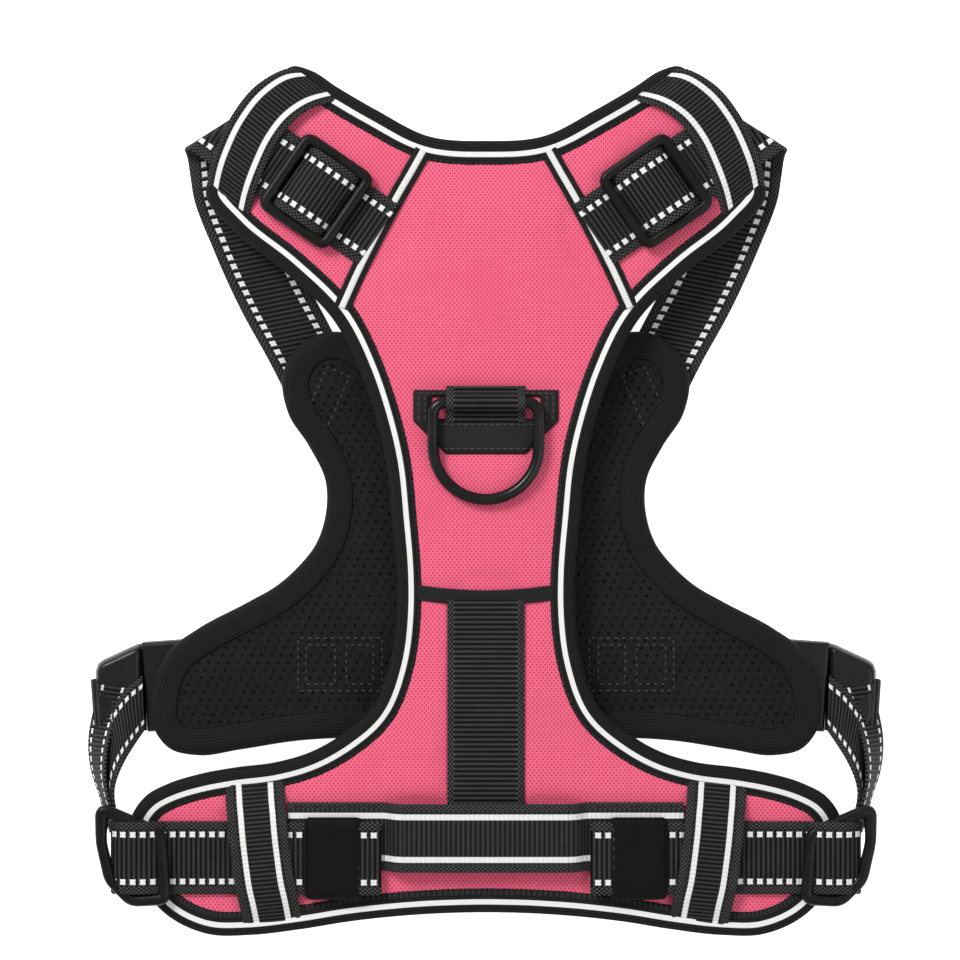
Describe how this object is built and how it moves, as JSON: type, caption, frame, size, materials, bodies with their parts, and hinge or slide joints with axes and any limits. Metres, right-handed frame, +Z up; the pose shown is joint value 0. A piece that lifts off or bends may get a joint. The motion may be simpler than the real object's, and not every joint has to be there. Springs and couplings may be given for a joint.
{
  "type": "no pull dog harness",
  "caption": "Padded vest harness lying flat: back and chest panels, webbing straps with adjusters, side-release buckles, leash rings and a grab handle.",
  "frame": {"origin": "centre of the flat harness's outline, on the surface that it lies on", "axes": "+Y towards the neck, +X to the right as seen from above the back panel, +Z up through the chest panel and the back panel"},
  "size_m": [0.3586, 0.3848, 0.0404],
  "materials": {
    "webbing": "ribbed polyester webbing with reflective threads",
    "oxford": "woven oxford cloth",
    "padding": "closed-cell foam padding",
    "mesh": "knitted air mesh",
    "binding": "twill binding with a reflective stripe",
    "patch": "smooth reinforcing cloth",
    "ring_steel": "black coating over steel",
    "slide_plastic": "fine matte",
    "buckle_plastic": "satin"
  },
  "bodies": {
    "panels": {"back_binding": "binding", "back_cover_centre": "oxford", "back_cover_rear": "oxford", "back_cover_shoulder_left": "oxford", "back_cover_shoulder_right": "oxford", "back_foam": "padding", "back_lining": "mesh", "back_ring_loop": "webbing", "back_ring_patch": "patch", "buckle_socket_left": "buckle_plastic", "buckle_socket_right": "buckle_plastic", "chest_binding": "binding", "chest_cover": "oxford", "chest_foam": "padding", "chest_lining": "mesh", "chest_ring_loop": "webbing", "chest_ring_patch": "patch", "chest_webbing": "webbing", "girth_keeper_left": "webbing", "girth_keeper_right": "webbing", "girth_loop_left": "webbing", "girth_loop_right": "webbing", "girth_strap_left": "webbing", "girth_strap_right": "webbing", "handle_end_left": "webbing", "handle_end_right": "webbing", "handle_riser_left": "webbing", "handle_riser_right": "webbing", "shoulder_keeper_left": "webbing", "shoulder_keeper_right": "webbing", "shoulder_piping_left": "binding", "shoulder_piping_right": "binding", "shoulder_strap_left": "webbing", "shoulder_strap_right": "webbing", "spine_webbing": "webbing", "strap_wrap_left": "patch", "strap_wrap_right": "patch", "waist_seam_tape": "binding"},
    "back_ring": {"back_ring": "ring_steel"},
    "chest_ring": {"chest_ring": "ring_steel"},
    "handle": {"handle_grip": "webbing"},
    "shoulder_slide_left": {"shoulder_slide_left": "slide_plastic", "shoulder_turn_left": "webbing"},
    "girth_slide_left": {"girth_slide_left": "slide_plastic", "girth_turn_left": "webbing"},
    "plug_left": {"buckle_plug_left": "buckle_plastic", "plug_turn_left": "webbing"},
    "latch_front_left": {"latch_front_left": "buckle_plastic"},
    "latch_rear_left": {"latch_rear_left": "buckle_plastic"},
    "shoulder_slide_right": {"shoulder_slide_right": "slide_plastic", "shoulder_turn_right": "webbing"},
    "girth_slide_right": {"girth_slide_right": "slide_plastic", "girth_turn_right": "webbing"},
    "plug_right": {"buckle_plug_right": "buckle_plastic", "plug_turn_right": "webbing"},
    "latch_front_right": {"latch_front_right": "buckle_plastic"},
    "latch_rear_right": {"latch_rear_right": "buckle_plastic"}
  },
  "joints": [
    {"name": "back_ring_swing", "type": "hinge", "parent": "panels", "child": "back_ring", "pos_m": [0, 0.0427, 0.0357], "axis": [-1, 0, 0], "range_deg": [0, 165]},
    {"name": "chest_ring_swing", "type": "hinge", "parent": "panels", "child": "chest_ring", "pos_m": [0, 0.022, 0.0077], "axis": [1, 0, 0], "range_deg": [0, 150]},
    {"name": "handle_lift", "type": "slide", "parent": "panels", "child": "handle", "axis": [0, 0, 1], "range_m": [0, 0.02], "deforming": ["handle_riser_left", "handle_riser_right"]},
    {"name": "shoulder_adjust_left", "type": "slide", "parent": "panels", "child": "shoulder_slide_left", "axis": [-0.8241, 0.5664, 0], "range_m": [-0.01, 0.002]},
    {"name": "girth_adjust_left", "type": "slide", "parent": "panels", "child": "girth_slide_left", "axis": [1, 0, 0], "range_m": [0, 0.014]},
    {"name": "plug_pull_left", "type": "slide", "parent": "panels", "child": "plug_left", "axis": [-0.9976, -0.0698, 0], "range_m": [0, 0.024], "deforming": ["girth_loop_left"]},
    {"name": "latch_squeeze_front_left", "type": "hinge", "parent": "plug_left", "child": "latch_front_left", "pos_m": [-0.15368, -0.07001, 0.0058], "axis": [0, 0, -1], "range_deg": [0, 8], "stiffness_Nm_per_rad": 0.05},
    {"name": "latch_squeeze_rear_left", "type": "hinge", "parent": "plug_left", "child": "latch_rear_left", "pos_m": [-0.15172, -0.09795, 0.0058], "axis": [0, 0, 1], "range_deg": [0, 8], "stiffness_Nm_per_rad": 0.05},
    {"name": "shoulder_adjust_right", "type": "slide", "parent": "panels", "child": "shoulder_slide_right", "axis": [0.8241, 0.5664, 0], "range_m": [-0.01, 0.002]},
    {"name": "girth_adjust_right", "type": "slide", "parent": "panels", "child": "girth_slide_right", "axis": [-1, 0, 0], "range_m": [0, 0.014]},
    {"name": "plug_pull_right", "type": "slide", "parent": "panels", "child": "plug_right", "axis": [0.9976, -0.0698, 0], "range_m": [0, 0.024], "deforming": ["girth_loop_right"]},
    {"name": "latch_squeeze_front_right", "type": "hinge", "parent": "plug_right", "child": "latch_front_right", "pos_m": [0.15368, -0.07001, 0.0058], "axis": [0, 0, 1], "range_deg": [0, 8], "stiffness_Nm_per_rad": 0.05},
    {"name": "latch_squeeze_rear_right", "type": "hinge", "parent": "plug_right", "child": "latch_rear_right", "pos_m": [0.15172, -0.09795, 0.0058], "axis": [0, 0, -1], "range_deg": [0, 8], "stiffness_Nm_per_rad": 0.05}
  ],
  "couplings": [
    {"joint": "latch_squeeze_rear_left", "follows": "latch_squeeze_front_left", "ratio": 1},
    {"joint": "latch_squeeze_rear_right", "follows": "latch_squeeze_front_right", "ratio": 1}
  ]
}
